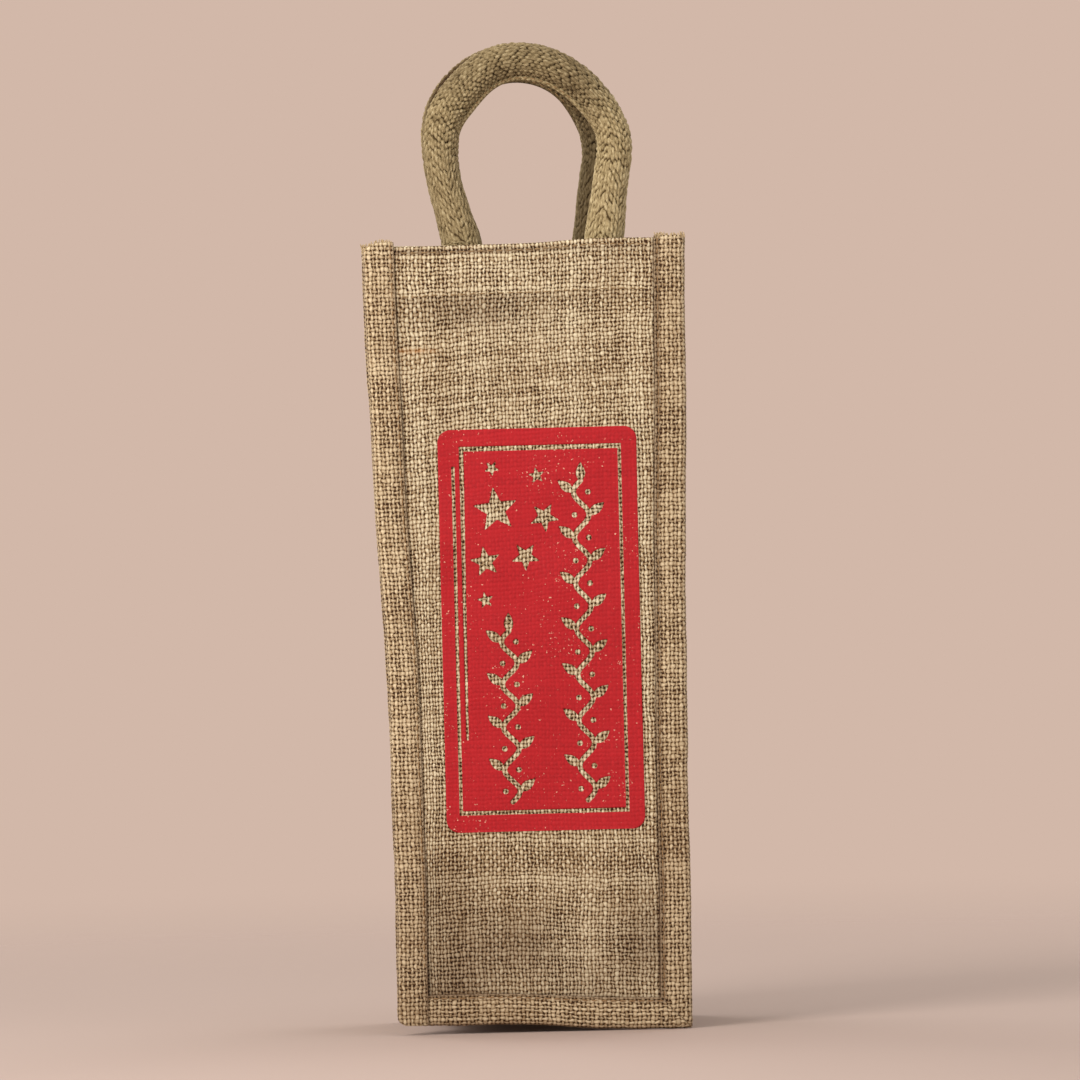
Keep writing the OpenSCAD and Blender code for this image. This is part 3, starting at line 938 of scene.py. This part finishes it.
def gusset_grid(seed):
    """The front half of the gusset strip, from its edge in the flanges to the crease at mid depth:
    its middle surface, weave coordinates and marks, which cells it has, and how far along the
    strip each row is."""
    run, inward, at = gusset_path()
    edge = STRIP_DEPTH - HALF_SOLID
    tab = [(-9.0, -edge), (-1.6, -edge)]
    bend = [(-0.8, -edge + 0.15), (-0.15, -edge + 0.8), (0.2, -edge + 2.2)]
    across, q = resample(np.array([*tab, *bend, (CREASE, 0)]), WARP_PITCH / 2)
    mouth = smooth(run[:, 1], FLANGE + 4, FLANGE + 60)
    uv = stack(*np.meshgrid(q / WARP_PITCH, at / WEFT_PITCH))
    shift, side = np.meshgrid(across[:, 0], run[:, 0])
    depth, zz = np.meshgrid(across[:, 1], run[:, 1])
    free = smooth(depth, -edge + 2, -edge + 16) * smooth(-depth, 0, 10)
    soft = 1.1 * ripple(zz * np.sign(side), depth, 40, seed)
    soft = free * (soft + 0.5 * ripple(zz, depth + side, 15, seed + 1))
    shift = np.where(shift > 0, shift * (0.12 + 0.88 * mouth[:, None]), shift) + soft
    wander = 0.5 * ripple(at[:, None], depth, 30, seed + 2) * free
    points = stack(side + shift * inward[:, :1], depth + wander, zz + shift * inward[:, 1:])
    tabs = across[:-1, 0] < -0.5
    hem_rows = (at[:-1] < HEM + 2) | (at[:-1] > at[-1] - HEM - 2)
    # Painted shade: darker where the strip meets the binding, towards the base, and along the
    # crease at mid depth.
    shade = 0.5 * ridge(depth, -edge, 1.6) + 0.18 * smooth(-zz, -110, -16)
    shade += 0.22 * ridge(depth, 0, 1.2) * smooth(zz, 40, 90)
    marks = {"shade": np.clip(shade, 0, 0.8), "stain": 0 * shade}
    return points, uv, marks, ~(tabs & hem_rows[:, None]), at


def side_hem_stitches(name, place, seed):
    """The stitches of both side hems, inside and outside, as far as mid depth."""
    points, *_, at = gusset_grid(seed)
    off_line = np.abs(points[:, 30, 2] - (HEM_LINE + 2))
    rows = []
    for side in (-1, 1):
        along = at if side < 0 else at[-1] - at
        outer = (along > HEM + 4) & (along < HEM + 60)
        row = np.argmin(np.where(outer, off_line, np.inf))
        line = points[row][points[row][:, 1] > 3 - STRIP_DEPTH]
        out = np.array([side, 0, 0])
        rows += stitched(line + 0.5 * out, out, proud=0.25)
        rows += stitched(line - 2.6 * out, -out, proud=0.25)
    return threads(name, place, rows)


def hem_stitches(name, place, seed, shift):
    """Two rows of stitches along the hem, outside, and inside beside the handle's ends."""
    rows = []
    for z in (MOUTH_Z - 3, HEM_LINE + 2):
        x = np.linspace(-HALF_MOUTH + 3, HALF_MOUTH - 3, 80)
        zz = z + 0.25 * ripple(x, 0, 22, seed + int(z))
        here = wandered(x, zz, seed)[1]
        depth = panel_skin(x, here, seed)[1]
        rows += stitched(stack(x, -depth, here), -ALONG_Y)
        inner = stack(x, -(depth - (PANEL_OUT - PANEL_IN) + 0.1), here)
        for stitch in stitched(inner, ALONG_Y):
            if abs(abs(stitch[3, 0] - shift) - LEG_GAP / 2) > END_HALF_WIDTH + 2:
                rows.append(stitch)
    return threads(name, place, rows)


# --- handles ---


def handle_line():
    """Middle of the webbing from one sewn end over the arch to the other, as x, depth and z, and
    the distances along it."""
    z = np.linspace(END_LOW, MOUTH_Z, 40)
    depth = END_DEPTH + (HANDLE_DEPTH - END_DEPTH) * smooth(z, END_LOW + 10, MOUTH_Z + 1)
    rise = stack(-LEG_GAP / 2, depth, z)
    angle = np.linspace(math.pi + LEG_TILT, math.pi / 2, 60)
    arch = stack(ARCH * np.cos(angle), HANDLE_DEPTH, ARCH_Z + ARCH * np.sin(angle))
    left = np.concatenate([rise, arch])
    whole = np.concatenate([left, (left * [-1, 1, 1])[::-1][1:]])
    even, at = resample(whole, 0.56)
    padded = np.pad(even, ((6, 6), (0, 0)), mode="edge")
    kernel = np.hanning(15)[1:-1]
    kernel = kernel / kernel.sum()
    soft = stack(*(np.convolve(column, kernel, "valid") for column in padded.T))
    soft[:3], soft[-3:] = even[:3], even[-3:]
    return soft, at


def webbing_relief(u, v, leg):
    """Height of the webbing's yarns, from 0 in the gaps to 1: round knots in bricks on the arch,
    and slanted strokes in a herringbone on the legs, where leg is 1."""
    lively = np.random.default_rng(7).uniform(0, 1, (2, 64, 256))
    best = np.zeros(np.broadcast(u, v, leg).shape)
    for beside in (-1, 0, 1):
        column = np.floor(u) + beside
        entry = column.astype(int) % 64
        du = u - column - 0.5
        turn = np.where((column // 4) % 2 == 0, 1.0, -1.0)
        brick = 0.5 * (column % 2)
        herring = 0.3 * np.abs((column % 8) - 4) + 0.35 * lively[0, entry, 0]
        along = v + brick + (herring - brick) * leg + turn * du * (0.1 + 0.5 * leg)
        row = np.floor(along)
        size, place = lively[:, entry, row.astype(int) % 256]
        dv = along - row - 0.5 + 0.3 * (place - 0.5)
        dome = 1 - (du / (0.68 - 0.04 * leg)) ** 2 - (np.abs(dv) / 0.58) ** (2 + leg)
        best = np.maximum(best, dome * (0.55 + 0.45 * size))
    return np.sqrt(best)


def handle(name, place, shift, seed):
    """The webbing tube with its flat sewn ends. Its painted shade is darkest inside, over the
    crown, and on the front of its left leg."""
    path, at = handle_line()
    columns, sides = 28, 28 * 5
    up = path[:, 2]
    opened = 1 - smooth(up, END_LOW + 9, MOUTH_Z + 1)
    wide = 1 - smooth(up, MOUTH_Z, MOUTH_Z + 34)
    leg = 1 - smooth(up, ARCH_Z - 22, ARCH_Z + 14)
    lumps = 0.25 * ripple(at, 0, 12, seed)
    half_a = 8.0 + 0.8 * wide + 1.6 * opened + lumps
    half_b = 8.0 - 1.0 * wide - 5.4 * opened + 0.6 * lumps * (1 - opened)
    tangent = unit(np.gradient(path * [1, -1, 1], axis=0))
    across = unit(np.cross(tangent, ALONG_Y))
    above = np.cross(across, tangent)
    floats = np.cumsum(np.gradient(at) / (3.0 + 1.0 * leg))
    u, v = np.meshgrid(np.arange(sides) / sides * columns, floats)
    proud = webbing_relief(u, v + 0.3 * ripple(u, v, 3, seed + 1), leg[:, None])
    relief_mm = (1.9 - 0.8 * leg[:, None]) * (proud - 0.7) * (1 - 0.5 * opened)[:, None]
    wide, tall = half_a[:, None] + relief_mm, half_b[:, None] + relief_mm
    beside = round_path(across, above, wide, tall)
    middle = path * [1, -1, 1] + [shift, 0, 0]
    # Painted shade: inside the loop, over the crown, and on the front of the left leg.
    inner = smooth(beside[..., 1], -2, 6)
    crown = 0.45 * smooth(up, ARCH_Z + 4, ARCH_Z + 34)[:, None]
    crown = crown * (1 + 0.4 * ripple(u, v, 7, seed + 3))
    left = 0.25 * smooth(-path[:, 0], 14, 34) * (1 - smooth(up, ARCH_Z, ARCH_Z + 30))
    shade = 0.66 * inner + crown + left[:, None] * (1 - inner)
    marks = {"proud": proud.ravel(), "shade": np.clip(shade, 0, 1).ravel()}
    return tube(name, place, middle, beside, (columns, floats[-1]), marks)


def arch_curve(reach, degrees, count):
    """Points of an arc round the arch's middle, and their angles."""
    span = math.radians(degrees)
    angle = np.linspace(math.pi / 2 + span / 2, math.pi / 2 - span / 2, count)
    return stack(reach * np.cos(angle), -HANDLE_DEPTH, ARCH_Z + reach * np.sin(angle)), angle


def handle_edge(name, place, shift, shade):
    """The two edges of the webbing, sewn together inside the arch as a low ridge."""
    path, angle = arch_curve(ARCH - TUBE, 196, 300)
    taper = smooth(-np.abs(angle - math.pi / 2), math.radians(-98), math.radians(-52))
    taper = taper[:, None]
    radial = stack(np.cos(angle), 0, np.sin(angle))
    path = path + (2.2 - 2.1 * taper) * radial - 0.9 * taper * ALONG_Y
    rib = np.cos(np.arange(300) * 0.95)[:, None] * np.sin(np.arange(16) / 16 * 4 * np.pi)
    wide, tall = 1.1 + 0.25 * taper + 0 * rib, 1.2 + (0.2 + 0.2 * rib) * taper
    beside = round_path(radial, ALONG_Y[None], wide, tall)
    # shade is painted shade, one value along the whole edge.
    marks = {"proud": np.clip(0.7 + 0.3 * rib, 0, 1).ravel(), "shade": np.full(rib.size, shade)}
    return tube(name, place, path + [shift, 0, 0], beside, (5, 32), marks)


def edge_stitches(name, place, shift):
    """The thread along both sides of the webbing's sewn edges."""
    rows = []
    for out in (-1, 1):
        path = arch_curve(ARCH - TUBE + 0.1, 104, 60)[0] + [shift, out * 1.2 - 0.9, 0]
        rows += stitched(path, out * ALONG_Y, length=2.8, gap=0.8, proud=0.22)
    return threads(name, place, rows, 0.25)


def end_stitches(name, place, shift):
    """The box of stitches with its cross, on each sewn end."""
    depth = END_DEPTH - 2.35
    rows = []
    for leg in (-1, 1):
        x = leg * LEG_GAP / 2 + shift
        w, low, high = 7.5, END_LOW + 2, END_LOW + 9.5
        box = [(-w, low), (w, low), (w, high), (-w, high)]
        for ends in ((0, 1), (1, 2), (2, 3), (3, 0), (0, 2), (1, 3)):
            path = np.array([(x + box[i][0], -depth, box[i][1]) for i in ends])
            rows += stitched(path, ALONG_Y, length=2.4, gap=0.7)
    return threads(name, place, rows)


def filler(name, place, shift):
    """The twisted cord inside the webbing."""
    path, _ = arch_curve(ARCH, 186, 200)
    turn = np.arange(24) / 24 * 2 * np.pi + np.arange(200)[:, None] * 0.09
    reach = 5.6 + 0.55 * np.cos(3 * turn)
    tangent = unit(np.gradient(path, axis=0))
    side = unit(np.cross(tangent, ALONG_Y))
    beside = round_path(side, np.cross(side, tangent), reach, reach)
    return tube(name, place, path + [shift, 0, 0], beside)


# --- the pieces ---

SEEDS = {"front": 11, "back": 211}


def placing(side):
    """Where one side's cloth and handle pieces go, which are all drawn as if on the front."""
    turn = np.array([1, 1, 1] if side == "front" else [-1, -1, 1])
    return (
        lambda points: settled(points * turn, SHORT_FOOT[side]),
        lambda points: leaned(points * turn, HANDLE_X[side], **HANGS[side]),
    )


def dress_side(side):
    """Everything that rides on one panel, its handle, and its half of the gusset."""
    front, grip, seed = side == "front", f"{side}_handle", SEEDS[side]
    place, hang = placing(side)
    sign = -1 if front else 1
    shift = -sign * HANDLE_X[side]

    skin = panel(f"{side}_cloth", place, seed, front)
    dress(skin, JUTE, "jute_cloth", side, f"{side}_panel")
    tape = binding(f"{side}_tape", place, seed + 20)
    dress(tape, TAPE, "jute_tape", side, f"{side}_binding")
    row = binding_stitches(f"{side}_tape_stitches", place)
    dress(row, THREAD, "thread", side, f"{side}_binding_seam")
    dress(frayed_ends(f"{side}_tape_fray", place, seed), FRAY, "jute_tape", side)
    row = hem_stitches(f"{side}_hem_stitches", place, seed, shift)
    dress(row, HEM_THREAD, "thread", side, f"{side}_hem_seam")

    web = handle(f"{side}_webbing", hang, shift, seed)
    dress(web, WEBBING, "webbing", None, f"{side}_handle_cover", f"{side}_handle_ends")
    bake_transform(web)
    # Painted shade on the webbing's sewn edge: dark on the back handle, slight on the front.
    fin = handle_edge(f"{side}_webbing_edge", hang, shift, 0.2 if front else 0.75)
    dress(fin, WEBBING, "webbing", grip)
    row = edge_stitches(f"{side}_edge_stitches", hang, shift)
    dress(row, THREAD, "thread", grip, f"{side}_handle_seam")
    row = end_stitches(f"{side}_end_stitches", hang, shift)
    dress(row, THREAD, "thread", side, f"{side}_handle_end_stitches")
    cord = filler(f"{side}_filler_cord", hang, shift)
    dress(cord, FILLER, "filler", grip, f"{side}_handle_core")

    wall = joined(f"gusset_{side}_half", place, [cloth(*gusset_grid(seed + 60)[:-1])])
    dress(wall, JUTE, "jute_cloth", None, "gusset_strip")
    row = side_hem_stitches(f"gusset_{side}_hem_stitches", place, seed + 60)
    dress(row, HEM_THREAD, "thread", None, "left_gusset_hem_seam", "right_gusset_hem_seam")
    for piece in (wall, row):
        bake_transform(piece)


dress_side("front")
dress_side("back")
ink = ink_layer("printed_ink", placing("front")[0], SEEDS["front"])
dress(ink, INK, "ink", "front", "front_print")


# --- stage, light and camera ---

PHOTO_WIDTH = 0.4933
DISTANCE = 4.5
AZIMUTH, ELEVATION, ROLL = math.radians(-1.2), math.radians(0.6), math.radians(-1.4)
AIM = Vector((0.0038, -0.05, 0.2243))


def stage():
    """A round pale floor that fades into the background at its rim."""
    bpy.ops.mesh.primitive_circle_add(
        vertices=128, radius=1.6, fill_type="NGON", location=(0, 0, -0.0005)
    )
    floor = bpy.context.object
    floor.name = "floor"
    g = new_graph("floor")
    far = g.node("ShaderNodeVectorMath", {0: g.position()}, "Value", operation="LENGTH")
    fading = g.step(far, 0.25, 1.5, 1.0, 0.0)
    floor.data.materials.append(g.surface(srgb(177, 156, 145), 0.9, 0.1, Alpha=fading))
    floor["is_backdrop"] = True


def world():
    """Soft light from all round, behind which the camera sees the plain background."""
    g = Graph(bpy.data.worlds.new("studio"))
    bpy.context.scene.world = g.owner
    seen = g.node("ShaderNodeLightPath", out="Is Camera Ray")
    lit = g.node("ShaderNodeBackground", {"Color": (1.0, 0.96, 0.92, 1), "Strength": 0.45})
    shown = g.node("ShaderNodeBackground", {"Color": srgb(210, 184, 169)})
    both = g.node("ShaderNodeMixShader", enumerate((seen, lit, shown)))
    g.put(g.tree.nodes["World Output"].inputs[0], both)


def aimed(data, spot, along, roll=0.0):
    """An object for a lamp's or camera's data, that looks along a direction."""
    made = bpy.data.objects.new(data.name, data)
    made.location = spot
    made.rotation_mode = "QUATERNION"
    made.rotation_quaternion = along.to_track_quat("-Z", "Y") @ Quaternion((0, 0, 1), roll)
    bpy.context.scene.collection.objects.link(made)
    return made


def lamp(name, spot, size, power, colour=(1, 1, 1)):
    """A square soft light aimed at the bag's middle."""
    data = bpy.data.lights.new(name, "AREA")
    data.size = size
    data.energy = power
    data.color = colour
    aimed(data, spot, Vector((0, 0, 0.2)) - Vector(spot))


def camera():
    """A long lens at the photographed angle, aimed at the middle of the bag's front."""
    data = bpy.data.cameras.new("camera")
    data.lens = data.sensor_width * DISTANCE / PHOTO_WIDTH
    data.clip_end = 50
    level = math.cos(ELEVATION)
    back = Vector((math.sin(AZIMUTH) * level, -math.cos(AZIMUTH) * level, math.sin(ELEVATION)))
    bpy.context.scene.camera = aimed(data, AIM + back * DISTANCE, -back, ROLL)


stage()
world()
lamp("key", (-0.85, -1.05, 0.95), 0.6, 18.5, (1.0, 0.97, 0.94))
lamp("fill", (1.5, -1.6, 0.5), 1.6, 10)
lamp("top", (0.1, 0.1, 2.0), 1.5, 14)
lamp("rear_left", (-1.4, 1.6, 1.2), 1.4, 20)
lamp("rear_right", (1.5, 1.5, 0.9), 1.4, 12)
bpy.context.scene.view_settings.view_transform = "Standard"
camera()

boxes = {"cad": cad_bounds, "visual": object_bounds()}
{k: [list(low), list(high)] for k, (low, high) in boxes.items()}
